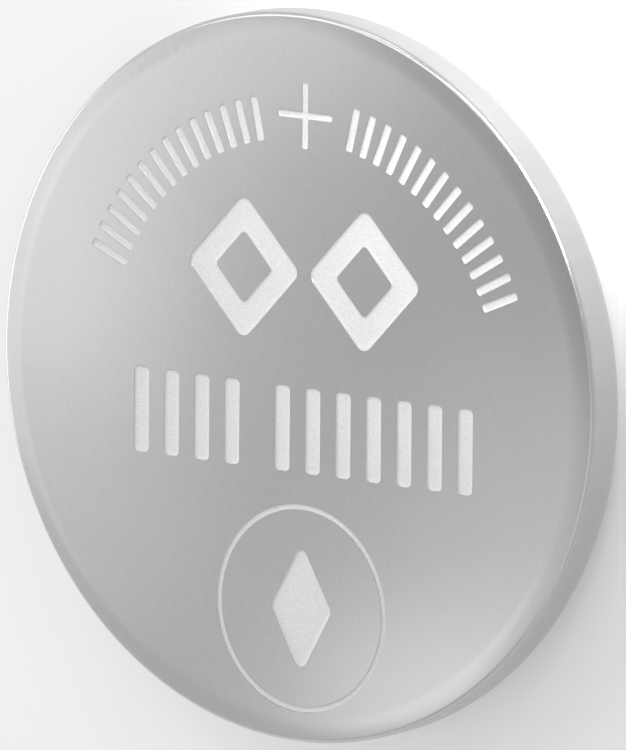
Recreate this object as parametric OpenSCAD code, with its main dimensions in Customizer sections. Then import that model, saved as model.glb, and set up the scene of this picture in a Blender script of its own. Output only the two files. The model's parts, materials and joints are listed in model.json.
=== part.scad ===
// Lithium manganese dioxide coin cell, size 24.5 mm across and 3.0 mm high.
// Everything is turned about the Z axis. The cell lies on its negative terminal
// at z = 0, and the flat face of the positive can is on top.

/* [Cell] */
// Overall diameter of the cell
cell_d = 24.5; // [23:0.1:26]
// Overall height, from the negative terminal to the positive face
cell_h = 3.0; // [2.8:0.1:5]

/* [Positive can] */
// Sheet thickness of the can
can_t = 0.25; // [0.2:0.01:0.28]
// Width of the band round the face that falls away to the rim
face_band_w = 0.65; // [0.55:0.05:0.9]
// How far that band falls at the rim
face_drop = 0.1; // [0.04:0.02:0.16]
// Outside radius of the soft bend where the band starts to fall
face_bend_r = 1.5; // [0.5:0.1:2]
// Outside radius of the bend from the face into the wall
rim_r = 0.35; // [0.3:0.01:0.4]
// Height above the negative terminal at which the wall starts to curl in
crimp_start = 1.85; // [1.75:0.05:1.95]
// Outside radius of the crimp's curl
crimp_r = 0.9; // [0.85:0.01:1]
// How far the crimped lip is rolled in from upright, in degrees
crimp_angle = 45; // [42:1:48]
// Height of the lip's edge above the negative terminal
crimp_edge = 0.6; // [0.55:0.05:0.75]
// Rounding of the can's cut edge
cut_edge_r = 0.08; // [0.04:0.01:0.09]

/* [Pressed marks] */
// Depth of the marks pressed into the positive face
mark_depth = 0.06; // [0.03:0.01:0.1]
// How far right of the face's middle the marks are pressed
mark_shift = 0.35; // [0:0.05:0.4]
// Number of strokes in each of the two arcs beside the top of the face
stroke_count = 14; // [8:1:16]
// Angle between two strokes, in degrees
stroke_step = 4.15; // [3.9:0.05:4.3]
// Angle from the top of the face to the first stroke on either side, in degrees
stroke_start = 13; // [11:0.5:15]
// Width of a stroke
stroke_w = 0.28; // [0.2:0.02:0.32]
// Length of a stroke
stroke_l = 1.5; // [1:0.1:1.8]
// Rounding of a stroke's corners
stroke_corner_r = 0.09; // [0.05:0.01:0.09]
// Distance from the strokes' outer ends to the edge of the flat face
stroke_margin = 2.05; // [1:0.05:2.4]
// Width of one of the two lozenges in the middle
lozenge_w = 4.7; // [4:0.1:5]
// Height of those lozenges
lozenge_h = 4.95; // [4:0.05:5.2]
// Width of the lozenges' pressed band
lozenge_band = 0.85; // [0.6:0.05:1]
// Gap between the two lozenges
lozenge_gap = 0.3; // [0.2:0.05:0.6]
// Height of the lozenges' middle above the middle of the face
lozenge_rise = 3.55; // [3.2:0.05:3.8]
// Rounding of the lozenges' corners
lozenge_corner_r = 0.35; // [0.2:0.05:0.4]
// Number of bars in the left group and in the right group
bar_groups = [4, 7]; // [1:1:8]
// Width of a bar
bar_w = 0.6; // [0.4:0.05:0.7]
// Height of a bar
bar_h = 2.9; // [2:0.1:3.2]
// Gap between two bars
bar_gap = 0.66; // [0.4:0.02:0.7]
// Gap between the two groups of bars
bar_group_gap = 1.5; // [1:0.1:2]
// How far the bars' middle lies below the middle of the face
bar_drop = 1.7; // [1.3:0.1:2]
// Rounding of a bar's corners
bar_corner_r = 0.18; // [0.1:0.02:0.18]
// Outside radius of the pressed circle
circle_r = 3.5; // [2.8:0.1:3.6]
// Width of the circle's groove
circle_w = 0.15; // [0.1:0.01:0.25]
// Distance from the circle to the edge of the flat face
circle_margin = 0.4; // [0.3:0.05:0.6]
// Width of the lozenge in the circle
badge_w = 2.5; // [1.5:0.1:3]
// Height of that lozenge
badge_h = 4.4; // [3:0.1:5]
// Rounding of that lozenge's corners
badge_corner_r = 0.25; // [0.1:0.05:0.3]

/* [Negative cap] */
// Sheet thickness of the cap
cap_t = 0.25; // [0.2:0.01:0.28]
// Outside radius of the bend round the terminal
terminal_bend_r = 0.3; // [0.29:0.01:0.35]
// How far the shoulder lies behind the terminal
step_depth = 0.4; // [0.3:0.02:0.44]
// Slope of the step between the terminal and the shoulder, in degrees
step_angle = 45; // [35:1:60]
// Outside radius of the hollow bend at the foot of the step
step_bend_r = 0.15; // [0.1:0.01:0.2]
// Width of the flat shoulder
shoulder_w = 0.5; // [0.4:0.05:0.9]

/* [Gasket] */
// Thickness of the gasket between the can and the cap
gasket_t = 0.3; // [0.25:0.01:0.32]
// Thickness of the gasket's floor under the cap's skirt
gasket_floor_t = 0.35; // [0.33:0.01:0.4]
// Thickness of the gasket's inner wall
gasket_inner_t = 0.3; // [0.2:0.02:0.4]
// Gap between the gasket's inner wall and the cap's bend
gasket_bend_gap = 0.1; // [0.05:0.01:0.15]
// How far the gasket shows past the can's lip
gasket_show = 0.3; // [0.15:0.05:0.35]
// Rounding of the gasket's visible edge
gasket_edge_r = 0.1; // [0.05:0.01:0.12]

/* [Cell stack] */
// Thickness of the lithium disc
lithium_t = 0.6; // [0.4:0.05:0.7]
// Gap between the lithium disc and the corner of the terminal's edge
lithium_gap = 0.3; // [0.2:0.05:1]
// Thickness of the separator
separator_t = 0.25; // [0.15:0.01:0.3]
// Gap between the separator's edge and the slope of the cap
separator_gap = 0.15; // [0.1:0.05:0.5]
// Sheet thickness of the ring round the cathode pellet
ring_t = 0.15; // [0.1:0.01:0.2]
// Gap between that ring and the gasket's inner wall
ring_gap = 1.4; // [0.8:0.1:2]
// Width of the ring's foot against the can
ring_foot_w = 0.9; // [0.5:0.1:1.5]
// How far the pellet stands out of the ring towards the separator
pellet_stand = 0.3; // [0.2:0.05:0.5]
// Rounding of the pressed pellet's edge
pellet_edge_r = 0.2; // [0.1:0.02:0.25]

/* [Hidden] */
$fn = 128;

steel = [0.80, 0.80, 0.79];
milky = [0.86, 0.86, 0.82];
lithium_grey = [0.66, 0.67, 0.69];
fleece_white = [0.94, 0.94, 0.92];
pellet_black = [0.14, 0.14, 0.15];

// How far a cutting shape stands out of the face that it cuts
cut_over = 0.1;

// Radii of the walls that fit inside each other, from the outside in
cell_r = cell_d / 2;
can_inner_r = cell_r - can_t;
skirt_r = can_inner_r - gasket_t;
skirt_inner_r = skirt_r - cap_t;
gasket_inner_r = skirt_inner_r - gasket_inner_t;
ring_r = gasket_inner_r - ring_gap;
pellet_r = ring_r - ring_t;

// The flat part of the positive face, and the places of its marks
face_r = cell_r - face_band_w;
stroke_mid_r = face_r - stroke_margin - stroke_l / 2;
bar_pitch = bar_w + bar_gap;
bar_group_w = [for (count = bar_groups) count * bar_pitch - bar_gap];
bars_w = bar_group_w[0] + bar_group_gap + bar_group_w[1];

// Heights of the flat seats
can_floor_z = cell_h - can_t;
skirt_end_z = can_floor_z - gasket_floor_t;
lithium_z = cap_t;
separator_z = lithium_z + lithium_t;
pellet_z = separator_z + separator_t;

// The can's wall, the gasket and the cap's skirt curl in round one centre
cap_bend_r = crimp_r - can_t - gasket_t;
crimp_corner_z = crimp_start - crimp_r * tan(crimp_angle / 2);
crimp_edge_r = cell_r - (crimp_corner_z - crimp_edge) * tan(crimp_angle);
cap_corner_z = crimp_start - cap_bend_r * tan(crimp_angle / 2);
crimp_out = [cos(crimp_angle), -sin(crimp_angle)];
crimp_down = [-sin(crimp_angle), -cos(crimp_angle)];

// The cap's outside, from the slope under the crimp in to the terminal
shoulder_r = skirt_r - (cap_corner_z - step_depth) * tan(crimp_angle);
step_foot_r = shoulder_r - shoulder_w;
terminal_r = step_foot_r - step_depth / tan(step_angle);
lithium_r = terminal_r - lithium_gap;
separator_r = skirt_inner_r - separator_gap
    - (crimp_start - (cap_bend_r - cap_t) * tan(crimp_angle / 2) - separator_z) * tan(crimp_angle);

// Outlines are lists of [distance from the axis, height, bend radius]
can_outside = [
    [0, cell_h, 0],
    [face_r, cell_h, face_bend_r],
    [cell_r, cell_h - face_drop, rim_r],
    [cell_r, crimp_corner_z, crimp_r],
    [crimp_edge_r, crimp_edge, 0]
];
can_inside = beside(can_outside, -can_t);
cap_outside = [
    [0, 0, 0],
    [terminal_r, 0, terminal_bend_r],
    [step_foot_r, step_depth, step_bend_r],
    [shoulder_r, step_depth, cap_bend_r],
    [skirt_r, cap_corner_z, cap_bend_r],
    [skirt_r, skirt_end_z, 0]
];
gasket_end = point(last(can_inside)) + crimp_down * gasket_show;
gasket_end_inner = gasket_end - crimp_out * gasket_t;

function last(list) = list[len(list) - 1];
function all_but_last(list) = [for (i = [0 : len(list) - 2]) list[i]];
function reversed(list) = [for (i = [len(list) - 1 : -1 : 0]) list[i]];
function point(p) = [p[0], p[1]];
function unit(v) = v / norm(v);
function left_of(v) = [-v[1], v[0]];
function with_bend(p, r) = [p[0], p[1], r];

// Direction of the stretch of a path before and after its point i
function way_in(path, i) = i == 0 ? way_out(path, i) : unit(point(path[i]) - point(path[i - 1]));
function way_out(path, i) = i == len(path) - 1 ? way_in(path, i) : unit(point(path[i + 1]) - point(path[i]));

// The path that runs beside another at a distance, left of it where that is
// positive, as the second face of a bent sheet runs beside its first
function beside(path, distance) = [
    for (i = [0 : len(path) - 1])
        let (
            before = way_in(path, i),
            after = way_out(path, i),
            corner = (left_of(before) + left_of(after)) / (1 + before * after),
            inner = path[i][2] - distance * sign(cross(before, after))
        )
        with_bend(point(path[i]) + corner * distance, path[i][2] > 0 ? inner : 0)
];

// One corner of a closed outline: [start, corner, end, centre, radius, turn]
function bend(a, corner, b, r) =
    let (
        to_a = unit(a - corner),
        to_b = unit(b - corner),
        half = acos(to_a * to_b) / 2,
        run = r / tan(half)
    )
    [
        corner + to_a * run,
        corner,
        corner + to_b * run,
        corner + unit(to_a + to_b) * r / sin(half),
        r,
        cross(-to_a, to_b)
    ];

function bends(outline) = let (n = len(outline)) [
    for (i = [0 : n - 1])
        if (outline[i][2] > 0)
            bend(
                point(outline[(i + n - 1) % n]),
                point(outline[i]),
                point(outline[(i + 1) % n]),
                outline[i][2]
            )
];

// The closed outline with each bend cut straight across
function cut_corners(outline) = let (n = len(outline)) [
    for (i = [0 : n - 1])
        let (
            corner = bend(
                point(outline[(i + n - 1) % n]),
                point(outline[i]),
                point(outline[(i + 1) % n]),
                outline[i][2]
            )
        )
        each outline[i][2] > 0 ? [corner[0], corner[2]] : [corner[1]]
];

// The sliver between one bend's arc and its corner
module bend_fill(corner) {
    intersection() {
        translate(corner[3])
            circle(r = corner[4]);
        polygon([corner[0], corner[1], corner[2]]);
    }
}

// A closed outline that runs anticlockwise, filled in, with true arcs at its bends
module filled(outline) {
    difference() {
        union() {
            polygon(cut_corners(outline));
            for (corner = bends(outline))
                if (corner[5] > 0)
                    bend_fill(corner);
        }
        for (corner = bends(outline))
            if (corner[5] < 0)
                bend_fill(corner);
    }
}

module turned(outline) {
    rotate_extrude()
        filled(outline);
}

module rounded_bar(w, h, r) {
    filled([[-w / 2, -h / 2, r], [w / 2, -h / 2, r], [w / 2, h / 2, r], [-w / 2, h / 2, r]]);
}

module lozenge(w, h, r) {
    filled([[0, -h / 2, r], [w / 2, 0, r], [0, h / 2, r], [-w / 2, 0, r]]);
}

// A lozenge frame with a band of one width all round
module lozenge_frame(w, h, band, r) {
    inset = band * norm([w, h]);
    difference() {
        lozenge(w, h, r);
        lozenge(w - inset / h * 2, h - inset / w * 2, r / 2);
    }
}

// Short radial strokes in an arc on one side of the top, 1 for right, -1 for left
module stroke_arc(side) {
    for (i = [0 : stroke_count - 1])
        rotate(-side * (stroke_start + i * stroke_step))
            translate([0, stroke_mid_r])
                rounded_bar(stroke_w, stroke_l, stroke_corner_r);
}

module bar_row() {
    starts = [-bars_w / 2, bars_w / 2 - bar_group_w[1]];
    for (group = [0 : len(bar_groups) - 1])
        for (i = [0 : bar_groups[group] - 1])
            translate([starts[group] + bar_w / 2 + i * bar_pitch, -bar_drop])
                rounded_bar(bar_w, bar_h, bar_corner_r);
}

module circled_lozenge() {
    translate([0, circle_margin + circle_r - face_r]) {
        difference() {
            circle(r = circle_r);
            circle(r = circle_r - circle_w);
        }
        lozenge(badge_w, badge_h, badge_corner_r);
    }
}

// The plain marks as one cutting shape, pressed down into the positive face
module pressed_marks() {
    translate([mark_shift, 0, cell_h - mark_depth])
        linear_extrude(mark_depth + cut_over) {
            for (side = [-1, 1]) {
                stroke_arc(side);
                translate([side * (lozenge_w + lozenge_gap) / 2, lozenge_rise])
                    lozenge_frame(lozenge_w, lozenge_h, lozenge_band, lozenge_corner_r);
            }
            bar_row();
            circled_lozenge();
        }
}

// Deep drawn cup with a flat face, its rim rolled in over the gasket
module positive_can() {
    color(steel)
        difference() {
            turned(concat(
                all_but_last(can_inside),
                [with_bend(last(can_inside), cut_edge_r), with_bend(last(can_outside), cut_edge_r)],
                reversed(all_but_last(can_outside))
            ));
            pressed_marks();
        }
}

// Pressed cap with a raised terminal, a shoulder and a skirt in the gasket
module negative_cap() {
    color(steel)
        turned(concat(cap_outside, reversed(beside(cap_outside, cap_t))));
}

// Moulded seal that fills the crimp and holds the cap's skirt in a groove
module gasket() {
    color(milky)
        turned([
            [gasket_inner_r, can_floor_z, 0],
            [gasket_inner_r, crimp_start + gasket_bend_gap, 0],
            [skirt_inner_r, crimp_start + gasket_bend_gap, 0],
            [skirt_inner_r, skirt_end_z, 0],
            [skirt_r, skirt_end_z, 0],
            [skirt_r, cap_corner_z, cap_bend_r],
            with_bend(gasket_end_inner, gasket_edge_r),
            with_bend(gasket_end, gasket_edge_r),
            can_inside[3],
            can_inside[2],
            can_inside[1]
        ]);
}

// Punched metal disc pressed onto the inside of the cap
module lithium_disc() {
    color(lithium_grey)
        translate([0, 0, lithium_z])
            cylinder(h = lithium_t, r = lithium_r);
}

// Fleece disc that keeps the two electrodes apart
module separator() {
    color(fleece_white)
        translate([0, 0, separator_z])
            cylinder(h = separator_t, r = separator_r);
}

// Pressed powder tablet, rebated where the ring's foot is pressed into it
module cathode_pellet() {
    color(pellet_black)
        turned([
            [0, pellet_z, 0],
            [pellet_r, pellet_z, pellet_edge_r],
            [pellet_r, can_floor_z - ring_t, 0],
            [ring_r - ring_foot_w, can_floor_z - ring_t, 0],
            [ring_r - ring_foot_w, can_floor_z, 0],
            [0, can_floor_z, 0]
        ]);
}

// Angle section ring that grips the pellet and carries current to the can
module cathode_ring() {
    color(steel)
        turned([
            [ring_r - ring_foot_w, can_floor_z, 0],
            [ring_r - ring_foot_w, can_floor_z - ring_t, 0],
            [pellet_r, can_floor_z - ring_t, 0],
            [pellet_r, pellet_z + pellet_stand, 0],
            [ring_r, pellet_z + pellet_stand, 0],
            [ring_r, can_floor_z, ring_t]
        ]);
}

positive_can();
negative_cap();
gasket();
lithium_disc();
separator();
cathode_pellet();
cathode_ring();
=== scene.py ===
"""Looks of a lithium coin cell, 24.5 mm across and 3.0 mm high, on a plain pale floor.

The cell lies on its negative terminal, so its positive face looks up at the
camera. The can, the cap and the gasket between them are turned from their
sections and take the place of their solids. The four pieces sealed inside keep
their solids and get their own finishes. Every length is in metres, in the
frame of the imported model.
"""

from __future__ import annotations

import json
import logging
import math
from collections.abc import Callable, Iterator
from contextlib import contextmanager
from dataclasses import dataclass, field
from enum import Enum

import bmesh
import bpy
from mathutils import Matrix, Vector

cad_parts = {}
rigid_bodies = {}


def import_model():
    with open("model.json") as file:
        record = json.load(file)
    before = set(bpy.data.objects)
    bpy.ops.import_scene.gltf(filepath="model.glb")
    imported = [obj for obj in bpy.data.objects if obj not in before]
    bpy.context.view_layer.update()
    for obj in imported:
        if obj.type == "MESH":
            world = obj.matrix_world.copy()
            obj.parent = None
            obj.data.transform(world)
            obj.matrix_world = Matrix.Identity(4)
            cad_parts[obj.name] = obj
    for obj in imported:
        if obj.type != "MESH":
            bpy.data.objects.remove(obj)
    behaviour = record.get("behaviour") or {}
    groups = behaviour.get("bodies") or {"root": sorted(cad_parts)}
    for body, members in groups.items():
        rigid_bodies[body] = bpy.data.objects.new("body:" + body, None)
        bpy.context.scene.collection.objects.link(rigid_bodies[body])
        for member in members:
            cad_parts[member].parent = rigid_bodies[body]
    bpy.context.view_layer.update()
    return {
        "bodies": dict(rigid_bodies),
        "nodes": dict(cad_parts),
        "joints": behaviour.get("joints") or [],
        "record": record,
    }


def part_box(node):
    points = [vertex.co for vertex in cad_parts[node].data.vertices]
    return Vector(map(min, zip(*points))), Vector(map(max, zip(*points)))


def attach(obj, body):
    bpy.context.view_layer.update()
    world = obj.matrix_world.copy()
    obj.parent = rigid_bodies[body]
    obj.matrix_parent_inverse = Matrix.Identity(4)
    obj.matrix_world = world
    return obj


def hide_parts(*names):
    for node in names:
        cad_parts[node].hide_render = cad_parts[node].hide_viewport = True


MM = 0.001
BODY = "root"
SAME_PLACE = 0.0005 * MM
NOISE_MEAN = 0.5
SMOOTH_UP_TO = math.radians(32)
LOG = logging.getLogger("coin_cell")

Colour = tuple[float, float, float]
Grain = float | tuple[float, float, float]
Pair = tuple[float, float]
Shape = bpy.types.Object


class Part(Enum):
    """What a selection in edit mode is made of."""

    VERTS = "VERT"
    EDGES = "EDGE"
    FACES = "FACE"


class Wire:
    """A shader value that Python's operators work on by adding Math nodes."""

    def __init__(self, sheet: NodeSheet, socket: bpy.types.NodeSocket) -> None:
        """Args: sheet: the node sheet that the value is on. socket: the output that carries it."""
        self.sheet = sheet
        self.socket = socket

    def _math(self, operation: str, *values: Wire | float) -> Wire:
        """Adds a Math node on some values and returns its result."""
        return self.sheet.node("ShaderNodeMath", {"operation": operation}, dict(enumerate(values)))

    def __add__(self, other: Wire | float) -> Wire:
        """This value plus another."""
        return self._math("ADD", self, other)

    def __sub__(self, other: Wire | float) -> Wire:
        """This value less another."""
        return self._math("SUBTRACT", self, other)

    def __rsub__(self, other: float) -> Wire:
        """A number less this value."""
        return self._math("SUBTRACT", other, self)

    def __mul__(self, other: Wire | float) -> Wire:
        """This value times another."""
        return self._math("MULTIPLY", self, other)

    __radd__, __rmul__ = __add__, __mul__

    def larger(self, other: Wire | float) -> Wire:
        """The larger of this value and another."""
        return self._math("MAXIMUM", self, other)

    def step(self, start: float, end: float) -> Wire:
        """A soft step of this value.

        Args:
            start: value at which the step is 0.
            end: value at which the step is 1.

        Returns:
            The step, from 0 to 1.
        """
        settings = {"interpolation_type": "SMOOTHSTEP"}
        return self.sheet.node("ShaderNodeMapRange", settings, {0: self, 1: start, 2: end})


class NodeSheet:
    """A node tree to which nodes are added in one way."""

    MIX_A, MIX_B, MIX_RESULT = 6, 7, 2

    def __init__(self, tree: bpy.types.NodeTree) -> None:
        """Args: tree: the tree, which is emptied."""
        self.tree = tree
        tree.nodes.clear()

    def node(
        self,
        kind: str,
        settings: dict[str, object] | None = None,
        inputs: dict[str | int, object] | None = None,
        output: str | int = 0,
    ) -> Wire:
        """Adds one node.

        Args:
            kind: the node's type.
            settings: the node's own settings, which are set first.
            inputs: a value or a wire for each socket, by its name or number.
            output: the socket that is returned, by its name or number.

        Returns:
            The wire from that socket.
        """
        made = self.tree.nodes.new(kind)
        for name, value in (settings or {}).items():
            setattr(made, name, value)
        for name, value in (inputs or {}).items():
            if isinstance(value, Wire):
                self.tree.links.new(value.socket, made.inputs[name])
            else:
                made.inputs[name].default_value = value
        return Wire(self, made.outputs[output] if made.outputs else None)

    def place(self) -> Wire:
        """The point's place in the object's own frame."""
        return self.node("ShaderNodeTexCoord", output="Object")

    def axis(self, vector: Wire, name: str) -> Wire:
        """One of a vector's values, X, Y or Z."""
        return self.node("ShaderNodeSeparateXYZ", inputs={0: vector}, output=name)

    def noise(self, vector: Wire, grain: Grain, detail: float = 2.0) -> Wire:
        """Soft noise.

        Args:
            vector: where it is read, in metres.
            grain: size of its largest grain, the same all round or along each axis.
            detail: how many times finer grains are laid over it.

        Returns:
            The noise, from 0 to 1.
        """
        size = grain if isinstance(grain, tuple) else (grain,) * 3
        places = self.node("ShaderNodeVectorMath", {"operation": "DIVIDE"}, {0: vector, 1: size})
        return self.node("ShaderNodeTexNoise", inputs={"Vector": places, "Scale": 1.0, "Detail": detail})

    def mix(self, factor: Wire | float, first: Wire | Colour, second: Wire | Colour) -> Wire:
        """A colour between two.

        Args:
            factor: 0 for the first and 1 for the second.
            first: a colour.
            second: another.

        Returns:
            The mixed colour.
        """
        ends = [c if isinstance(c, Wire) else (*c, 1.0) for c in (first, second)]
        inputs = {0: factor, self.MIX_A: ends[0], self.MIX_B: ends[1]}
        return self.node("ShaderNodeMix", {"data_type": "RGBA"}, inputs, self.MIX_RESULT)

    def bump(self, height: Wire, depth: float) -> Wire:
        """A bumped normal.

        Args:
            height: the height, from 0 to 1.
            depth: what 1 stands for, in metres.

        Returns:
            The normal.
        """
        return self.node("ShaderNodeBump", inputs={"Strength": 1.0, "Distance": depth, "Height": height})

    def surface(self, **inputs: object) -> None:
        """Adds the surface shader and joins it to the material's output.

        Args:
            **inputs: its sockets' values or wires, named with _ for each space.
        """
        named = {name.replace("_", " "): value for name, value in inputs.items()}
        shader = self.node("ShaderNodeBsdfPrincipled", inputs=named)
        self.node("ShaderNodeOutputMaterial", inputs={"Surface": shader})


@dataclass(frozen=True)
class Finish:
    """A finish that becomes one material. Each kind of finish paints its own nodes."""

    name: str

    def paint(self, sheet: NodeSheet) -> None:
        """Adds the finish's nodes to an empty sheet."""
        raise NotImplementedError

    def material(self) -> bpy.types.Material:
        """The material with this finish.

        Returns:
            A new material.
        """
        made = bpy.data.materials.new(self.name)
        made.use_nodes = True
        self.paint(NodeSheet(made.node_tree))
        return made


@dataclass(frozen=True)
class TwoTone(Finish):
    """A finish with one colour where its pattern is low and another where it is high."""

    low: Colour
    high: Colour
    roughness: float
    roughness_play: float = 0.0
    tone_span: Pair = (0.3, 0.7)

    def tone(self, sheet: NodeSheet, pattern: Wire) -> Wire:
        """The colour that a pattern picks."""
        return sheet.mix(pattern.step(*self.tone_span), self.low, self.high)

    def gloss(self, pattern: Wire) -> Wire:
        """The roughness, which a pattern varies a little."""
        return self.roughness + self.roughness_play * (pattern - NOISE_MEAN)


@dataclass(frozen=True)
class GrainedPlate(TwoTone):
    """Nickel plate on rolled steel, with the sheet's grain on its flats and drawing marks on its wall, which
    is painted darker than the flats as painted shade.
    """

    flat_span: Pair = (2.82 * MM, 2.90 * MM)
    # painted shade: how much darker the wall is painted than the face
    painted_wall_shade: float = 0.8
    grain: Grain = (0.06 * MM, 0.4 * MM, 1.0 * MM)
    grain_detail: float = 4.0
    grain_depth: float = 0.0002 * MM
    draw_grain: Grain = (0.5 * MM, 0.5 * MM, 2.5 * MM)
    draw_detail: float = 3.0
    cloud: float = 3.5 * MM
    cloud_part: float = 0.35

    def paint(self, sheet: NodeSheet) -> None:
        """Paints the flats by the sheet's grain and the rest by the drawing marks, painted darker there as
        painted shade.

        Args:
            sheet: the empty sheet.
        """
        place = sheet.place()
        flat = sheet.axis(place, "Z").step(*self.flat_span)
        rolled = sheet.noise(place, self.grain, self.grain_detail)
        drawn = sheet.noise(place, self.draw_grain, self.draw_detail)
        clouds = sheet.noise(place, self.cloud)
        grain = rolled * flat + drawn * (1 - flat)
        tone = (grain * (1 - self.cloud_part) + clouds * self.cloud_part).step(*self.tone_span)
        face = sheet.mix(tone, self.low, self.high)
        # painted shade: the wall takes the face's two colours made darker by this factor
        wall = sheet.mix(tone, *(tuple(c * self.painted_wall_shade for c in end) for end in (self.low, self.high)))
        sheet.surface(
            Base_Color=sheet.mix(flat, wall, face),
            Metallic=1.0,
            Roughness=self.gloss(grain),
            Normal=sheet.bump(grain, self.grain_depth),
        )


@dataclass(frozen=True)
class FrostedMark(TwoTone):
    """The finely blasted floor of a pressed mark, whose sides keep more of the bare nickel."""

    metallic: float = 0.25
    speck: float = 0.05 * MM
    speck_depth: float = 0.0025 * MM
    side: Colour = (0.66, 0.66, 0.657)
    side_roughness: float = 0.36
    side_metallic: float = 0.9
    side_span: Pair = (2.945 * MM, 2.985 * MM)

    def paint(self, sheet: NodeSheet) -> None:
        """Paints a pale ground with fine specks, and barer nickel up the mark's sides.

        Args:
            sheet: the empty sheet.
        """
        place = sheet.place()
        specks = sheet.noise(place, self.speck)
        bare = sheet.axis(place, "Z").step(*self.side_span)
        sheet.surface(
            Base_Color=sheet.mix(bare, self.tone(sheet, specks), self.side),
            Metallic=self.metallic + (self.side_metallic - self.metallic) * bare,
            Roughness=self.roughness + (self.side_roughness - self.roughness) * bare,
            Normal=sheet.bump(specks, self.speck_depth),
        )


@dataclass(frozen=True)
class TurnedPlate(TwoTone):
    """Nickel plate with faint rings round the axis, as the terminal and inner ring have."""

    roughness_play: float = 0.12
    ring_gap: float = 0.12 * MM
    ring_detail: float = 3.0
    ring_part: float = 0.5
    ring_depth: float = 0.0004 * MM
    scuff: float = 1.4 * MM
    scuff_detail: float = 5.0

    def paint(self, sheet: NodeSheet) -> None:
        """Paints the rings and soft scuffs over them.

        Args:
            sheet: the empty sheet.
        """
        place = sheet.place()
        flat = sheet.node("ShaderNodeVectorMath", {"operation": "MULTIPLY"}, {0: place, 1: (1, 1, 0)})
        reach = sheet.node("ShaderNodeVectorMath", {"operation": "LENGTH"}, {0: flat}, "Value")
        out = sheet.node("ShaderNodeCombineXYZ", inputs={0: reach, 2: sheet.axis(place, "Z")})
        rings = sheet.noise(out, self.ring_gap, self.ring_detail)
        scuffs = sheet.noise(place, self.scuff, self.scuff_detail)
        sheet.surface(
            Base_Color=self.tone(sheet, rings * self.ring_part + scuffs * (1 - self.ring_part)),
            Metallic=1.0,
            Roughness=self.gloss(scuffs),
            Normal=sheet.bump(rings, self.ring_depth),
        )


@dataclass(frozen=True)
class MouldedPlastic(TwoTone):
    """Milky moulded polypropylene."""

    cloud: float = 1.8 * MM
    cloud_detail: float = 3.0
    skin: float = 0.05 * MM
    skin_depth: float = 0.0015 * MM

    def paint(self, sheet: NodeSheet) -> None:
        """Paints soft clouds with a waxy surface.

        Args:
            sheet: the empty sheet.
        """
        place = sheet.place()
        clouds = sheet.noise(place, self.cloud, self.cloud_detail)
        sheet.surface(
            Base_Color=self.tone(sheet, clouds),
            Roughness=self.gloss(clouds),
            Normal=sheet.bump(sheet.noise(place, self.skin), self.skin_depth),
        )


@dataclass(frozen=True)
class SoftMetal(TwoTone):
    """Punched foil, duller where it has begun to tarnish."""

    metallic_loss: float = 0.5
    roughness_gain: float = 0.26
    patch: float = 2.4 * MM
    patch_detail: float = 6.0
    rolled: Grain = (0.2 * MM, 4.0 * MM, 1.0 * MM)
    rolled_detail: float = 3.0
    rolled_depth: float = 0.001 * MM

    def paint(self, sheet: NodeSheet) -> None:
        """Paints tarnish in soft patches that also dull the gloss.

        Args:
            sheet: the empty sheet.
        """
        place = sheet.place()
        tarnish = sheet.noise(place, self.patch, self.patch_detail).step(*self.tone_span)
        sheet.surface(
            Base_Color=sheet.mix(tarnish, self.low, self.high),
            Metallic=1.0 - self.metallic_loss * tarnish,
            Roughness=self.roughness + self.roughness_gain * tarnish,
            Normal=sheet.bump(sheet.noise(place, self.rolled, self.rolled_detail), self.rolled_depth),
        )


@dataclass(frozen=True)
class Fleece(TwoTone):
    """Non-woven fleece of fine crossed fibres, damp with electrolyte."""

    strand: Grain = (0.03 * MM, 0.9 * MM, 0.12 * MM)
    turns: Pair = (0.4, 2.0)
    depth: float = 0.02 * MM

    def paint(self, sheet: NodeSheet) -> None:
        """Paints two layers of fibres that cross each other.

        Args:
            sheet: the empty sheet.
        """
        place = sheet.place()
        layers = []
        for turn in self.turns:
            turned = sheet.node("ShaderNodeMapping", inputs={"Vector": place, "Rotation": (0, 0, turn)})
            layers.append(sheet.noise(turned, self.strand))
        fibres = (layers[0] + layers[1]) * 0.5
        sheet.surface(
            Base_Color=self.tone(sheet, fibres),
            Roughness=self.gloss(fibres),
            Normal=sheet.bump(fibres, self.depth),
        )


@dataclass(frozen=True)
class PressedPowder(TwoTone):
    """Black pressed powder with brighter specks of graphite."""

    grain: float = 0.06 * MM
    grain_detail: float = 4.0
    grain_depth: float = 0.012 * MM
    speck: float = 0.15 * MM
    speck_detail: float = 1.0
    speck_metallic: float = 0.6
    speck_gloss: float = 0.4

    def paint(self, sheet: NodeSheet) -> None:
        """Paints the powder's grain and the specks in it.

        Args:
            sheet: the empty sheet.
        """
        place = sheet.place()
        grain = sheet.noise(place, self.grain, self.grain_detail)
        specks = sheet.noise(place, self.speck, self.speck_detail).step(*self.tone_span)
        sheet.surface(
            Base_Color=sheet.mix(specks, self.low, self.high),
            Metallic=self.speck_metallic * specks,
            Roughness=self.roughness - self.speck_gloss * specks,
            Normal=sheet.bump(grain, self.grain_depth),
        )


@dataclass(frozen=True)
class PaleFloor(Finish):
    """A plain pale floor, lifted a little for the camera and in reflections, that still takes the shadow."""

    paint_tone: float
    lift: float
    roughness: float = 0.9

    def paint(self, sheet: NodeSheet) -> None:
        """Paints a plain tone, and adds light to it for camera, glossy and transmission rays.

        Args:
            sheet: the empty sheet.
        """
        seen = sheet.node("ShaderNodeLightPath", output="Is Camera Ray")
        for kind in ("Is Glossy Ray", "Is Transmission Ray"):
            seen = seen.larger(sheet.node("ShaderNodeLightPath", output=kind))
        sheet.surface(
            Base_Color=(*(self.paint_tone,) * 3, 1.0),
            Roughness=self.roughness,
            Specular_IOR_Level=0.0,
            Emission_Color=sheet.mix(seen, (0.0,) * 3, (self.lift,) * 3),
            Emission_Strength=1.0,
        )


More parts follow.
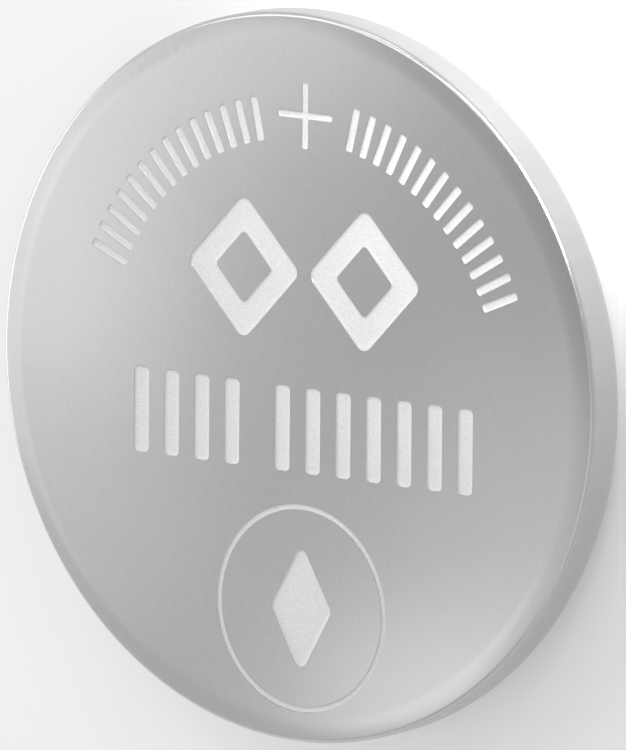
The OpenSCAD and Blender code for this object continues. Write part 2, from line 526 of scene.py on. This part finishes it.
CAN_STEEL = GrainedPlate(
    "can_nickel", (0.635, 0.635, 0.632), (0.675, 0.675, 0.672), roughness=0.26, roughness_play=0.03,
    tone_span=(0.25, 0.75),
)
MARK_FROST = FrostedMark("frosted_mark", (0.78, 0.78, 0.78), (0.925, 0.925, 0.925), roughness=0.6)
CAP_STEEL = TurnedPlate("cap_nickel", (0.58, 0.58, 0.57), (0.68, 0.68, 0.67), roughness=0.34)
RING_STEEL = TurnedPlate("ring_nickel", (0.50, 0.50, 0.49), (0.60, 0.60, 0.59), roughness=0.3)
MILKY = MouldedPlastic(
    "milky_polypropylene", (0.66, 0.66, 0.61), (0.76, 0.76, 0.72), roughness=0.42, roughness_play=0.1
)
LITHIUM = SoftMetal(
    "lithium_foil", (0.62, 0.63, 0.65), (0.36, 0.36, 0.38), roughness=0.34, tone_span=(0.42, 0.62)
)
FLEECE = Fleece(
    "separator_fleece", (0.60, 0.60, 0.57), (0.86, 0.86, 0.83), roughness=0.72, roughness_play=0.2,
    tone_span=(0.35, 0.6),
)
PELLET = PressedPowder(
    "cathode_powder", (0.02, 0.02, 0.021), (0.12, 0.12, 0.125), roughness=0.86, tone_span=(0.62, 0.7)
)
FLOOR = PaleFloor("pale_floor", paint_tone=0.92, lift=0.15)


class Bench:
    """The edit-mode steps that every piece is modelled with."""

    @staticmethod
    def clear() -> None:
        """Leaves nothing selected, so that an operator acts on its own piece alone."""
        bpy.ops.object.select_all(action="DESELECT")

    @staticmethod
    def pick(*objects: Shape) -> None:
        """Selects some objects and makes the first one active.

        Args:
            *objects: the objects.
        """
        Bench.clear()
        for piece in objects:
            piece.select_set(True)
        bpy.context.view_layer.objects.active = objects[0]

    @staticmethod
    @contextmanager
    def editing(piece: Shape) -> Iterator[None]:
        """Edit mode on one piece, with all of it selected at the start.

        Args:
            piece: the piece that is edited.
        """
        Bench.pick(piece)
        bpy.ops.object.mode_set(mode="EDIT")
        bpy.ops.mesh.select_mode(type=Part.VERTS.value)
        bpy.ops.mesh.select_all(action="SELECT")
        yield
        bpy.ops.object.mode_set(mode="OBJECT")

    @staticmethod
    def choose(part: Part, test: Callable[[object], bool]) -> None:
        """Selects the parts of the edited mesh that pass a test.

        Args:
            part: what is selected.
            test: says whether one vertex, edge or face is selected.
        """
        bpy.ops.mesh.select_mode(type=part.value)
        bpy.ops.mesh.select_all(action="DESELECT")
        mesh = bmesh.from_edit_mesh(bpy.context.edit_object.data)
        listed = {Part.VERTS: mesh.verts, Part.EDGES: mesh.edges, Part.FACES: mesh.faces}[part]
        for one in [each for each in listed if test(each)]:
            one.select_set(True)
        bmesh.update_edit_mesh(bpy.context.edit_object.data)

    @staticmethod
    def finish_modifier(piece: Shape, kind: str, **settings: object) -> None:
        """Adds a modifier and applies it.

        Args:
            piece: the piece that gets it.
            kind: the modifier's type.
            **settings: its settings.
        """
        Bench.pick(piece)
        modifier = piece.modifiers.new(kind.lower(), kind)
        for name, value in settings.items():
            setattr(modifier, name, value)
        bpy.ops.object.modifier_apply(modifier=modifier.name)

    @staticmethod
    def settle() -> None:
        """Works the selected objects' place, turn and scale into their meshes."""
        bpy.ops.object.transform_apply(location=True, rotation=True, scale=True)

    @staticmethod
    def face_out() -> None:
        """Turns every face of the edited mesh outward, and leaves all of it selected."""
        bpy.ops.mesh.select_all(action="SELECT")
        bpy.ops.mesh.normals_make_consistent(inside=False)

    @staticmethod
    def join(objects: list[Shape], name: str) -> Shape:
        """Joins objects into one that sits at the origin.

        Args:
            objects: the objects, which are used up.
            name: the name of the result.

        Returns:
            The joined object.
        """
        Bench.pick(*objects)
        Bench.settle()
        if len(objects) > 1:
            bpy.ops.object.join()
        joined = bpy.context.object
        joined.name = name
        return joined

    @staticmethod
    def copy(piece: Shape) -> Shape:
        """A copy of a piece, with its own mesh.

        Args:
            piece: the piece that is copied.

        Returns:
            The copy.
        """
        Bench.pick(piece)
        bpy.ops.object.duplicate(linked=False)
        return bpy.context.object

    @staticmethod
    def dress(piece: Shape, finish: Finish) -> None:
        """Gives a piece its one material."""
        piece.data.materials.clear()
        piece.data.materials.append(finish.material())


@dataclass(frozen=True)
class Corner:
    """A corner of a turned outline: its distance from the axis, its height and the radius of its bend."""

    r: float
    z: float
    bend: float = 0.0

    @property
    def point(self) -> Vector:
        """The corner's place in the section."""
        return Vector((self.r, self.z))


class Path:
    """A line of corners in the section of a turned piece."""

    BEND_STEP = math.radians(6)
    LEAST_BEND = 0.03 * MM

    def __init__(self, *corners: Corner) -> None:
        """Args: *corners: the corners, in order."""
        self.corners = corners

    def _ways(self, i: int) -> tuple[Vector, Vector]:
        """Directions of the stretches before and after a corner.

        Args:
            i: the corner's number.

        Returns:
            The two directions, which are the same one at the path's ends.
        """
        ends = range(1, len(self.corners))
        steps = {k: (self.corners[k].point - self.corners[k - 1].point).normalized() for k in ends}
        return steps[max(i, 1)], steps[min(i + 1, len(self.corners) - 1)]

    def beside(self, distance: float) -> Path:
        """The path beside this one, as the second face of a bent sheet runs.

        Args:
            distance: how far to the left it runs, or to the right where it is negative.

        Returns:
            The second path, with bends round the same centres.
        """
        moved = []
        for i, corner in enumerate(self.corners):
            before, after = self._ways(i)
            left = Vector((-before.y - after.y, before.x + after.x)) / (1 + before.dot(after))
            turn = before.cross(after)
            bend = max(corner.bend - distance * math.copysign(1.0, turn), self.LEAST_BEND)
            place = corner.point + left * distance
            moved.append(Corner(place.x, place.y, bend if corner.bend else 0.0))
        return Path(*moved)

    def points(self) -> list[Vector]:
        """The path's points, with an arc at each bend.

        Returns:
            The points, in order.
        """
        found = []
        for i, corner in enumerate(self.corners):
            before, after = self._ways(i)
            if not corner.bend or not 0 < i < len(self.corners) - 1:
                found.append(corner.point)
                continue
            turn = before.angle_signed(after)
            run = corner.bend * math.tan(abs(turn) / 2)
            start = corner.point - before * run
            side = math.copysign(1.0, before.cross(after))
            centre = start + Vector((-before.y, before.x)) * corner.bend * side
            count = max(2, math.ceil(abs(turn) / self.BEND_STEP))
            for k in range(count + 1):
                angle = side * abs(turn) * k / count
                found.append(centre + Matrix.Rotation(angle, 2) @ (start - centre))
        return found


@dataclass
class TurnedPiece:
    """A piece that is turned from its section about the cell's axis."""

    name: str
    steps: int = 256

    def turn(self, points: list[Vector], closed: bool) -> Shape:
        """Draws a section point by point and spins it.

        Args:
            points: the section's points.
            closed: whether the last point joins the first.

        Returns:
            The turned object, at the origin.
        """
        Bench.clear()
        bpy.ops.mesh.primitive_plane_add(size=MM, location=(points[0].x, 0, points[0].y))
        piece = bpy.context.object
        piece.name = self.name
        piece.data.name = self.name
        Bench.settle()
        with Bench.editing(piece):
            bpy.ops.mesh.merge(type="CENTER")
            for start, end in zip(points, points[1:] + points[:1] * closed):
                way = (end.x - start.x, 0, end.y - start.y)
                bpy.ops.mesh.extrude_region_move(TRANSFORM_OT_translate={"value": way})
            bpy.ops.mesh.select_all(action="SELECT")
            bpy.ops.mesh.spin(steps=self.steps, angle=math.tau, center=(0, 0, 0), axis=(0, 0, 1))
            bpy.ops.mesh.select_all(action="SELECT")
            bpy.ops.mesh.remove_doubles(threshold=SAME_PLACE)
            Bench.face_out()
        return piece

    @staticmethod
    def close(piece: Shape, heights: Pair) -> None:
        """Closes the open rings round the axis with flat discs.

        Args:
            piece: the turned piece.
            heights: the heights of its two open rings.
        """
        with Bench.editing(piece):
            for z in heights:
                Bench.choose(
                    Part.EDGES, lambda e, z=z: e.is_boundary and abs(e.verts[0].co.z - z) < SAME_PLACE
                )
                bpy.ops.mesh.edge_face_add()
            Bench.face_out()

    @staticmethod
    def smooth(piece: Shape) -> None:
        """Shades a piece smooth up to its sharp edges, with its flats truly flat.

        Args:
            piece: the piece.
        """
        Bench.pick(piece)
        bpy.ops.object.shade_smooth_by_angle(angle=SMOOTH_UP_TO)
        Bench.finish_modifier(piece, "WEIGHTED_NORMAL", keep_sharp=True)

    @staticmethod
    def seat(piece: Shape, node: str, slot: str) -> None:
        """Puts a piece in the place of its solid.

        Args:
            piece: the finished piece.
            node: the solid that it stands for.
            slot: not used.
        """
        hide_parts(node)
        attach(piece, BODY)
        LOG.info("%s stands for %s: %d faces", piece.name, node, len(piece.data.polygons))


@dataclass(frozen=True)
class Closure:
    """The sizes that the can, the gasket and the cap share, taken from the frame where it has them."""

    cell_r: float
    cell_h: float
    can_t: float
    gasket_t: float
    skirt_r: float
    skirt_end: float
    face_band: float = 0.65 * MM
    face_drop: float = 0.1 * MM
    face_bend: float = 2.4 * MM
    rim_bend: float = 0.2 * MM
    crimp_start: float = 1.85 * MM
    crimp_bend: float = 0.9 * MM
    crimp_angle: float = math.radians(45)
    crimp_edge: float = 0.6 * MM
    cut_edge: float = 0.08 * MM
    flat_ring: float = 0.2 * MM

    @classmethod
    def from_frame(cls) -> Closure:
        """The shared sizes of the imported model."""
        can, gasket, cap = (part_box(node)[1] for node in ("positive_can", "gasket", "negative_cap"))
        return cls(can.x, can.z, can.z - gasket.z, gasket.x - cap.x, cap.x, cap.z)

    @property
    def face_r(self) -> float:
        """Radius of the flat part of the positive face."""
        return self.cell_r - self.face_band

    @property
    def crimp_corner(self) -> float:
        """Height of the corner that the crimp's bend rounds."""
        return self.crimp_start - self.crimp_bend * math.tan(self.crimp_angle / 2)

    @property
    def skirt_bend(self) -> float:
        """Radius of the cap's bend under the crimp, round the can's own centre."""
        return self.crimp_bend - self.can_t - self.gasket_t

    @property
    def skirt_corner(self) -> float:
        """Height of the corner that this bend rounds."""
        return self.crimp_start - self.skirt_bend * math.tan(self.crimp_angle / 2)

    @property
    def crimp_down(self) -> Vector:
        """Direction in which the lip runs down and in."""
        return Vector((-math.sin(self.crimp_angle), -math.cos(self.crimp_angle)))

    @property
    def crimp_out(self) -> Vector:
        """Direction square to the lip, out and down."""
        return Vector((math.cos(self.crimp_angle), -math.sin(self.crimp_angle)))

    def can_outside(self, start_r: float) -> Path:
        """The can's outer face, from a point on the flat to the lip's edge.

        Args:
            start_r: distance of the first point from the axis.

        Returns:
            The path.
        """
        edge_r = self.cell_r - (self.crimp_corner - self.crimp_edge) * math.tan(self.crimp_angle)
        return Path(
            Corner(start_r, self.cell_h),
            Corner(self.face_r, self.cell_h, self.face_bend),
            Corner(self.cell_r, self.cell_h - self.face_drop, self.rim_bend),
            Corner(self.cell_r, self.crimp_corner, self.crimp_bend),
            Corner(edge_r, self.crimp_edge),
        )


@dataclass
class Can(TurnedPiece):
    """The drawn can with its pressed face and its crimped lip."""

    name: str = "positive_can_shell"

    def build(self, closure: Closure, marks: PressedMarks) -> Shape:
        """Models, presses and dresses the can.

        Args:
            closure: the shared sizes.
            marks: the marks in its face.

        Returns:
            The finished can.
        """
        outside = closure.can_outside(closure.face_r - closure.flat_ring)
        inside = outside.beside(-closure.can_t)
        ends = [Corner(p.corners[-1].r, p.corners[-1].z, closure.cut_edge) for p in (outside, inside)]
        back = tuple(reversed(inside.corners[:-1]))
        section = Path(*outside.corners[:-1], *ends, *back)
        piece = self.turn(section.points(), closed=False)
        self.close(piece, (closure.cell_h, closure.cell_h - closure.can_t))
        Bench.dress(piece, CAN_STEEL)
        marks.press(piece)
        self.smooth(piece)
        return piece


@dataclass
class PressedMarks:
    """The plain marks pressed into the positive face, as one set of punches."""

    face_r: float
    face_z: float
    depth: float = 0.06 * MM
    shift: float = 0.35 * MM
    stroke_count: int = 14
    stroke_step: float = math.radians(4.15)
    stroke_start: float = math.radians(13)
    stroke_size: Pair = (0.28 * MM, 1.5 * MM)
    stroke_corner: float = 0.09 * MM
    stroke_margin: float = 2.05 * MM
    lozenge_size: Pair = (4.7 * MM, 4.95 * MM)
    lozenge_band: float = 0.85 * MM
    lozenge_gap: float = 0.3 * MM
    lozenge_rise: float = 3.55 * MM
    lozenge_corner: float = 0.35 * MM
    bar_groups: tuple[int, int] = (4, 7)
    bar_size: Pair = (0.6 * MM, 2.9 * MM)
    bar_gap: float = 0.66 * MM
    bar_group_gap: float = 1.5 * MM
    bar_drop: float = 1.7 * MM
    bar_corner: float = 0.18 * MM
    circle_r: float = 3.5 * MM
    circle_w: float = 0.18 * MM
    circle_margin: float = 0.4 * MM
    badge_size: Pair = (2.5 * MM, 4.4 * MM)
    badge_corner: float = 0.25 * MM
    plus_reach: float = 1.12 * MM
    plus_w: float = 0.23 * MM
    plus_rise: float = 8.87 * MM
    plus_corner: float = 0.07 * MM
    wide_fillet: float = 0.16 * MM
    narrow_fillet: float = 0.08 * MM
    groove_fillet: float = 0.035 * MM
    fillet_room: float = 1.1
    stand_out: float = 0.05 * MM
    edge_round: float = 0.012 * MM
    edge_angle: float = math.radians(20)
    foot_angle: float = 1.0
    circle_steps: int = 144
    corner_steps: int = 8
    fillet_steps: int = 4
    edge_steps: int = 2

    @property
    def circle_y(self) -> float:
        """Place of the circle's middle along Y."""
        return self.circle_margin + self.circle_r - self.face_r

    def press(self, can: Shape) -> None:
        """Presses every mark into the can and softens the marks' upper edges.

        Args:
            can: the can, whose face is cut.
        """
        punches = [
            self._punch(self._lozenges() + self._bars() + [self._badge()], self.wide_fillet),
            self._punch(self._strokes(), self.narrow_fillet),
            self._punch([self._circle(), self._plus()], self.groove_fillet),
        ]
        punch = Bench.join(punches, "punch")
        Bench.dress(punch, MARK_FROST)
        Bench.finish_modifier(
            can, "BOOLEAN", operation="DIFFERENCE", solver="EXACT", object=punch, material_mode="TRANSFER"
        )
        bpy.data.objects.remove(punch)
        with Bench.editing(can):
            Bench.choose(Part.EDGES, self._is_mark_edge)
            bpy.ops.mesh.bevel(
                offset=self.edge_round, segments=self.edge_steps, clamp_overlap=False, material=-1
            )

    def _is_mark_edge(self, edge: bmesh.types.BMEdge) -> bool:
        """Whether an edge is the upper edge of a mark."""
        level = all(abs(v.co.z - self.face_z) < SAME_PLACE for v in edge.verts)
        return level and edge.calc_face_angle(0.0) > self.edge_angle

    def _is_foot_edge(self, edge: bmesh.types.BMEdge) -> bool:
        """Whether an edge is the lower edge of a punch that stands at height 0."""
        level = all(abs(v.co.z) < SAME_PLACE for v in edge.verts)
        return level and edge.calc_face_angle(0.0) > self.foot_angle

    def _punch(self, outlines: list[Shape], fillet: float) -> Shape:
        """Raises flat outlines into punches with rounded lower edges.

        Args:
            outlines: flat shapes at height 0, which are used up.
            fillet: width of the rounding at the foot of the mark's wall.

        Returns:
            The punches as one object, in place over the face.
        """
        punch = Bench.join(outlines, "outline")
        tall = fillet * self.fillet_room
        top = tall * (1 + self.stand_out / self.depth)
        with Bench.editing(punch):
            bpy.ops.mesh.extrude_region_move(TRANSFORM_OT_translate={"value": (0, 0, top)})
            Bench.face_out()
            Bench.choose(Part.EDGES, self._is_foot_edge)
            bpy.ops.mesh.bevel(offset=fillet, segments=self.fillet_steps, clamp_overlap=False)
        punch.scale.z = self.depth / tall
        punch.location = (self.shift, 0, self.face_z - self.depth)
        return Bench.join([punch], "punch")

    def _round_corners(self, run: float) -> None:
        """Rounds the selected corners, from the same distance along both sides."""
        bpy.ops.mesh.bevel(affect="VERTICES", offset=run, segments=self.corner_steps, clamp_overlap=False)

    @staticmethod
    def _size(size: Pair) -> Shape:
        """Gives the new shape of width and height 1 its own width and height.

        Args:
            size: its width and height.

        Returns:
            The shape.
        """
        shape = bpy.context.object
        shape.scale = (*size, 1.0)
        Bench.settle()
        return shape

    def _plate(self, size: Pair, corner: float) -> Shape:
        """A flat bar with round corners, in the middle.

        Args:
            size: its width and height.
            corner: radius of its corners.

        Returns:
            The bar.
        """
        Bench.clear()
        bpy.ops.mesh.primitive_plane_add(size=1.0)
        plate = self._size(size)
        with Bench.editing(plate):
            self._round_corners(corner)
        return plate

    def _lozenge(self, size: Pair, corner: float) -> Shape:
        """A flat lozenge with round corners, in the middle.

        Args:
            size: its width and height.
            corner: radius of its corners.

        Returns:
            The lozenge.
        """
        Bench.clear()
        bpy.ops.mesh.primitive_circle_add(vertices=4, radius=0.5, fill_type="NGON")
        shape = self._size(size)
        w, h = size
        with Bench.editing(shape):
            for axis, run in ((0, corner * h / w), (1, corner * w / h)):
                reach = size[1 - axis] / 2
                Bench.choose(Part.VERTS, lambda v, a=axis, s=reach: abs(abs(v.co[1 - a]) - s) < SAME_PLACE)
                self._round_corners(run)
        return shape

    @staticmethod
    def _copies(model: Shape, places: list[tuple[float, float, float]]) -> list[Shape]:
        """Copies of a shape at some places.

        Args:
            model: the shape, which is used up.
            places: X, Y and the turn about Z of each copy.

        Returns:
            The copies.
        """
        copies = []
        for x, y, turn in places:
            copies.append(Bench.copy(model))
            copies[-1].location = (x, y, 0)
            copies[-1].rotation_euler.z = turn
        bpy.data.objects.remove(model)
        return copies

    def _lozenges(self) -> list[Shape]:
        """The two lozenge frames side by side.

        Returns:
            The frames, as flat outlines.
        """
        w, h = self.lozenge_size
        inset = self.lozenge_band * math.hypot(w, h) * 2
        frame = Bench.join(
            [
                self._lozenge((w, h), self.lozenge_corner),
                self._lozenge((w - inset / h, h - inset / w), self.lozenge_corner / 2),
            ],
            "frame",
        )
        with Bench.editing(frame):
            bpy.ops.mesh.delete(type="ONLY_FACE")
            bpy.ops.mesh.select_all(action="SELECT")
            bpy.ops.mesh.bridge_edge_loops()
        frames = [frame, Bench.copy(frame)]
        for side, one in zip((-1, 1), frames):
            one.location = (side * (w + self.lozenge_gap) / 2, self.lozenge_rise, 0)
        return frames

    def _bars(self) -> list[Shape]:
        """The two groups of upright bars in one row.

        Returns:
            The bars, as flat outlines.
        """
        pitch = self.bar_size[0] + self.bar_gap
        widths = [count * pitch - self.bar_gap for count in self.bar_groups]
        row = sum(widths) + self.bar_group_gap
        starts = (-row / 2, row / 2 - widths[1])
        places = [
            (start + self.bar_size[0] / 2 + i * pitch, -self.bar_drop, 0.0)
            for start, count in zip(starts, self.bar_groups)
            for i in range(count)
        ]
        return self._copies(self._plate(self.bar_size, self.bar_corner), places)

    def _strokes(self) -> list[Shape]:
        """The short strokes in two arcs beside the top of the face.

        Returns:
            The strokes, as flat outlines.
        """
        reach = self.face_r - self.stroke_margin - self.stroke_size[1] / 2
        arc = [self.stroke_start + i * self.stroke_step for i in range(self.stroke_count)]
        angles = [side * angle for side in (-1, 1) for angle in arc]
        places = [(math.sin(angle) * reach, math.cos(angle) * reach, -angle) for angle in angles]
        return self._copies(self._plate(self.stroke_size, self.stroke_corner), places)

    def _circle(self) -> Shape:
        """The thin circle at the foot of the face.

        Returns:
            The ring, as a flat outline.
        """
        Bench.clear()
        middle = (0, self.circle_y, 0)
        bpy.ops.mesh.primitive_circle_add(
            vertices=self.circle_steps, radius=self.circle_r, fill_type="NGON", location=middle
        )
        circle = bpy.context.object
        with Bench.editing(circle):
            Bench.choose(Part.FACES, lambda face: True)
            bpy.ops.mesh.inset(thickness=self.circle_w)
            bpy.ops.mesh.delete(type="FACE")
        return circle

    def _badge(self) -> Shape:
        """The plain lozenge inside the circle.

        Returns:
            The lozenge, as a flat outline.
        """
        badge = self._lozenge(self.badge_size, self.badge_corner)
        badge.location.y = self.circle_y
        return badge

    def _plus(self) -> Shape:
        """The plus sign of the positive terminal.

        Returns:
            The sign's flat outline.
        """
        Bench.clear()
        bpy.ops.mesh.primitive_plane_add(size=self.plus_w)
        plus = bpy.context.object
        half = self.plus_w / 2
        arm = self.plus_reach - half
        with Bench.editing(plus):
            for turn in range(4):
                way = Vector((math.cos(turn * math.pi / 2), math.sin(turn * math.pi / 2), 0))
                Bench.choose(
                    Part.EDGES,
                    lambda e, w=way: ((e.verts[0].co + e.verts[1].co) / 2 - w * half).length < SAME_PLACE,
                )
                bpy.ops.mesh.extrude_region_move(TRANSFORM_OT_translate={"value": way * arm})
            Bench.choose(
                Part.VERTS, lambda v: abs(max(abs(v.co.x), abs(v.co.y)) - self.plus_reach) < SAME_PLACE
            )
            self._round_corners(self.plus_corner)
        plus.location.y = self.plus_rise
        return plus


@dataclass
class Cap(TurnedPiece):
    """The pressed negative cap with its raised terminal."""

    name: str = "negative_cap_shell"
    terminal_bend: float = 0.3 * MM
    step_depth: float = 0.4 * MM
    step_angle: float = math.radians(45)
    step_bend: float = 0.15 * MM
    shoulder_w: float = 0.5 * MM
    flat_ring: float = 0.5 * MM

    def build(self, closure: Closure) -> Shape:
        """Models and dresses the cap.

        Args:
            closure: the shared sizes.

        Returns:
            The finished cap.
        """
        bend, corner = closure.skirt_bend, closure.skirt_corner
        shoulder_r = closure.skirt_r - (corner - self.step_depth) * math.tan(closure.crimp_angle)
        foot_r = shoulder_r - self.shoulder_w
        terminal_r = foot_r - self.step_depth / math.tan(self.step_angle)
        outside = Path(
            Corner(terminal_r - self.flat_ring - self.terminal_bend, 0.0),
            Corner(terminal_r, 0.0, self.terminal_bend),
            Corner(foot_r, self.step_depth, self.step_bend),
            Corner(shoulder_r, self.step_depth, bend),
            Corner(closure.skirt_r, corner, bend),
            Corner(closure.skirt_r, closure.skirt_end),
        )
        inside = outside.beside(closure.can_t)
        section = Path(*outside.corners, *reversed(inside.corners))
        piece = self.turn(section.points(), closed=False)
        self.close(piece, (0.0, closure.can_t))
        Bench.dress(piece, CAP_STEEL)
        self.smooth(piece)
        return piece


@dataclass
class Gasket(TurnedPiece):
    """The moulded seal between the can and the cap's skirt."""

    name: str = "gasket_ring"
    inner_t: float = 0.3 * MM
    bend_gap: float = 0.1 * MM
    show: float = 0.3 * MM
    edge_bend: float = 0.1 * MM

    def build(self, closure: Closure) -> Shape:
        """Models and dresses the gasket.

        Args:
            closure: the shared sizes.

        Returns:
            The finished gasket.
        """
        wall = closure.can_outside(0.0).beside(-closure.can_t).corners
        skirt_in = closure.skirt_r - closure.can_t
        inner_r = skirt_in - self.inner_t
        groove_end = closure.crimp_start + self.bend_gap
        lip = wall[-1].point + closure.crimp_down * self.show
        lip_in = lip - closure.crimp_out * closure.gasket_t
        floor = closure.cell_h - closure.can_t
        section = Path(
            Corner(inner_r, floor),
            Corner(inner_r, groove_end),
            Corner(skirt_in, groove_end),
            Corner(skirt_in, closure.skirt_end),
            Corner(closure.skirt_r, closure.skirt_end),
            Corner(closure.skirt_r, closure.skirt_corner, closure.skirt_bend),
            Corner(lip_in.x, lip_in.y, self.edge_bend),
            Corner(lip.x, lip.y, self.edge_bend),
            *wall[3:0:-1],
            Corner(inner_r, floor),
        )
        piece = self.turn(section.points()[:-1], closed=True)
        Bench.dress(piece, MILKY)
        self.smooth(piece)
        return piece


@dataclass
class InnerPieces:
    """The four sealed pieces, which keep their solids."""

    finishes: dict[str, Finish] = field(
        default_factory=lambda: {
            "lithium_disc": LITHIUM,
            "separator": FLEECE,
            "cathode_pellet": PELLET,
            "cathode_ring": RING_STEEL,
        }
    )

    def dress(self, nodes: dict[str, Shape]) -> None:
        """Gives each sealed piece its finish.

        Args:
            nodes: the frame's nodes by name.
        """
        for name, finish in self.finishes.items():
            Bench.dress(nodes[name], finish)
            LOG.info("%s keeps its solid: %s", name, finish.name)


@dataclass(frozen=True)
class Studio:
    """The floor, the soft lights and the camera."""

    face_z: float
    floor_size: float = 3.0
    sky_tone: float = 0.38
    skyline_tone: float = 0.84
    azimuth: float = math.radians(36.88)
    elevation: float = math.radians(9.55)
    roll: float = math.radians(0.46)
    pixels_per_metre: float = 30.14 / MM
    offset: Pair = (-0.616 * MM, -0.122 * MM)
    distance: float = 0.87
    photo_height: int = 750
    sensor: float = 36.0

    def lay_floor(self) -> None:
        """Lays the pale floor under the cell."""
        Bench.clear()
        bpy.ops.mesh.primitive_plane_add(size=self.floor_size)
        floor = bpy.context.object
        floor.name = "floor"
        Bench.dress(floor, FLOOR)

    def light_world(self) -> None:
        """Sets the plain soft light from all round, a little brighter low down than overhead."""
        world = bpy.data.worlds.new("studio")
        bpy.context.scene.world = world
        world.use_nodes = True
        sheet = NodeSheet(world.node_tree)
        way = sheet.node("ShaderNodeTexCoord", output="Generated")
        low, high = (self.skyline_tone,) * 3, (self.sky_tone,) * 3
        glow = sheet.node("ShaderNodeBackground", inputs={0: sheet.mix(sheet.axis(way, "Z"), low, high)})
        sheet.node("ShaderNodeOutputWorld", inputs={"Surface": glow})

    def set_camera(self) -> None:
        """Puts the camera at the photograph's viewing angle, which is measured from the face's square."""
        az, el = self.azimuth, self.elevation
        back = Vector((math.sin(az) * math.cos(el), math.sin(el), math.cos(az) * math.cos(el)))
        right = Vector((0, 1, 0)).cross(back).normalized()
        up = back.cross(right)
        turn = Matrix.Rotation(self.roll, 3, back)
        right, up = turn @ right, turn @ up
        data = bpy.data.cameras.new("camera")
        data.sensor_width = self.sensor
        data.lens = self.pixels_per_metre * self.distance * self.sensor / self.photo_height
        camera = bpy.data.objects.new("camera", data)
        bpy.context.scene.collection.objects.link(camera)
        face = Vector((0, 0, self.face_z))
        place = face - right * self.offset[0] - up * self.offset[1] + back * self.distance
        axes = Matrix((right, up, back)).transposed().to_4x4()
        camera.matrix_world = Matrix.Translation(place) @ axes
        bpy.context.scene.camera = camera


@dataclass(frozen=True)
class SoftLight:
    """A soft area light that looks at a point."""

    name: str
    place: Vector
    target: Vector
    size: Pair
    tone: float
    beam: float = math.pi

    @classmethod
    def overhead(cls, name: str, x: float, y: float, height: float, side: float, tone: float) -> SoftLight:
        """A square panel that looks straight down.

        Args:
            name: the panel's name.
            x: its place along X in millimetres.
            y: its place along Y in millimetres.
            height: its height in millimetres.
            side: its side in millimetres.
            tone: how bright its face is, with 1 as white.

        Returns:
            The panel.
        """
        return cls(name, Vector((x, y, height)) * MM, Vector((x, y, 0)) * MM, (side * MM, side * MM), tone)

    @classmethod
    def around(
        cls, name: str, azimuth: float, elevation: float, distance: float, size: Pair,
        tone: float, reach: float = 0.0, beam: float = 180.0,
    ) -> SoftLight:
        """A softbox beside the cell.

        Args:
            name: the softbox's name.
            azimuth: its direction in degrees from +X towards +Y.
            elevation: its height in degrees above the floor.
            distance: how far it stands from the point that it looks at, in millimetres.
            size: its width and height in millimetres.
            tone: how bright its face would be if its light spread all round, with 1 as white.
            reach: how far that point lies from the cell's axis, in millimetres.
            beam: the angle in degrees that its light spreads over.

        Returns:
            The softbox.
        """
        turn, rise = math.radians(azimuth), math.radians(elevation)
        out = Vector((math.cos(turn), math.sin(turn), 0.0))
        way = out * math.cos(rise) + Vector((0.0, 0.0, math.sin(rise)))
        target = out * reach * MM
        face = (size[0] * MM, size[1] * MM)
        return cls(name, target + way * distance * MM, target, face, tone, math.radians(beam))

    def hang(self) -> None:
        """Hangs the light, with its power set by its tone and its size."""
        data = bpy.data.lights.new(self.name, "AREA")
        data.shape = "RECTANGLE"
        data.size, data.size_y = self.size
        data.spread = self.beam
        data.energy = self.tone * self.size[0] * self.size[1] * math.pi
        light = bpy.data.objects.new(self.name, data)
        bpy.context.scene.collection.objects.link(light)
        light.location = self.place
        way = self.target - self.place
        light.rotation_euler = way.to_track_quat("-Z", "Y").to_euler()
        light.visible_camera = False


WIDE_BOX = (60, 40)
STRIP_BOX = (60, 24)
FAR_BOX = (36, 26)
KICK_BOX = (14, 14)
SAIL = (130, 100)
LIGHTS = (
    SoftLight.overhead("panel_left", -32, 0, 30, 13, 0.64),
    SoftLight.overhead("panel_lower_left", -32, -10, 30, 13, 0.29),
    SoftLight.overhead("panel_upper", -22, 10, 30, 13, 0.47),
    SoftLight.overhead("panel_lower", -12, -20, 30, 13, 0.76),
    SoftLight.overhead("panel_lower_right", -2, -20, 30, 13, 0.26),
    SoftLight.overhead("panel_middle", -1, -10, 30, 13, 0.22),
    SoftLight.overhead("panel_middle_left", -8, -11, 30, 13, 0.24),
    SoftLight.overhead("panel_top", -10, 40, 50, 24, 1.6),
    SoftLight.around("box_left", 180, 35, 120, WIDE_BOX, 0.5),
    SoftLight.around("box_upper_left", 135, 35, 120, WIDE_BOX, 1.5),
    SoftLight.around("sail_lower_right", 315, 62, 160, SAIL, 0.32),
    SoftLight.around("strip_left", 180, 12, 120, STRIP_BOX, 2.8),
    SoftLight.around("strip_right", 45, 12, 120, STRIP_BOX, 2.4),
    SoftLight.around("far_upper", 105, 18, 150, FAR_BOX, 3.2),
    SoftLight.around("kicker_right", 45, 40, 45, KICK_BOX, 0.85, reach=15, beam=28),
    SoftLight.around("kicker_upper", 65, 40, 45, KICK_BOX, 1.05, reach=15, beam=28),
)


def main() -> None:
    """Builds the cell's pieces in order, then the studio round them."""
    logging.basicConfig(level=logging.INFO, format="%(message)s")
    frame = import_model()
    closure = Closure.from_frame()
    marks = PressedMarks(face_r=closure.face_r, face_z=closure.cell_h)
    TurnedPiece.seat(Can().build(closure, marks), "positive_can", "can_steel")
    TurnedPiece.seat(Cap().build(closure), "negative_cap", "cap_steel")
    TurnedPiece.seat(Gasket().build(closure), "gasket", "gasket_plastic")
    InnerPieces().dress(frame["nodes"])
    studio = Studio(face_z=closure.cell_h)
    studio.lay_floor()
    studio.light_world()
    for light in LIGHTS:
        light.hang()
    studio.set_camera()
    bpy.context.scene.view_settings.view_transform = "Standard"


if __name__ == "__main__":
    main()
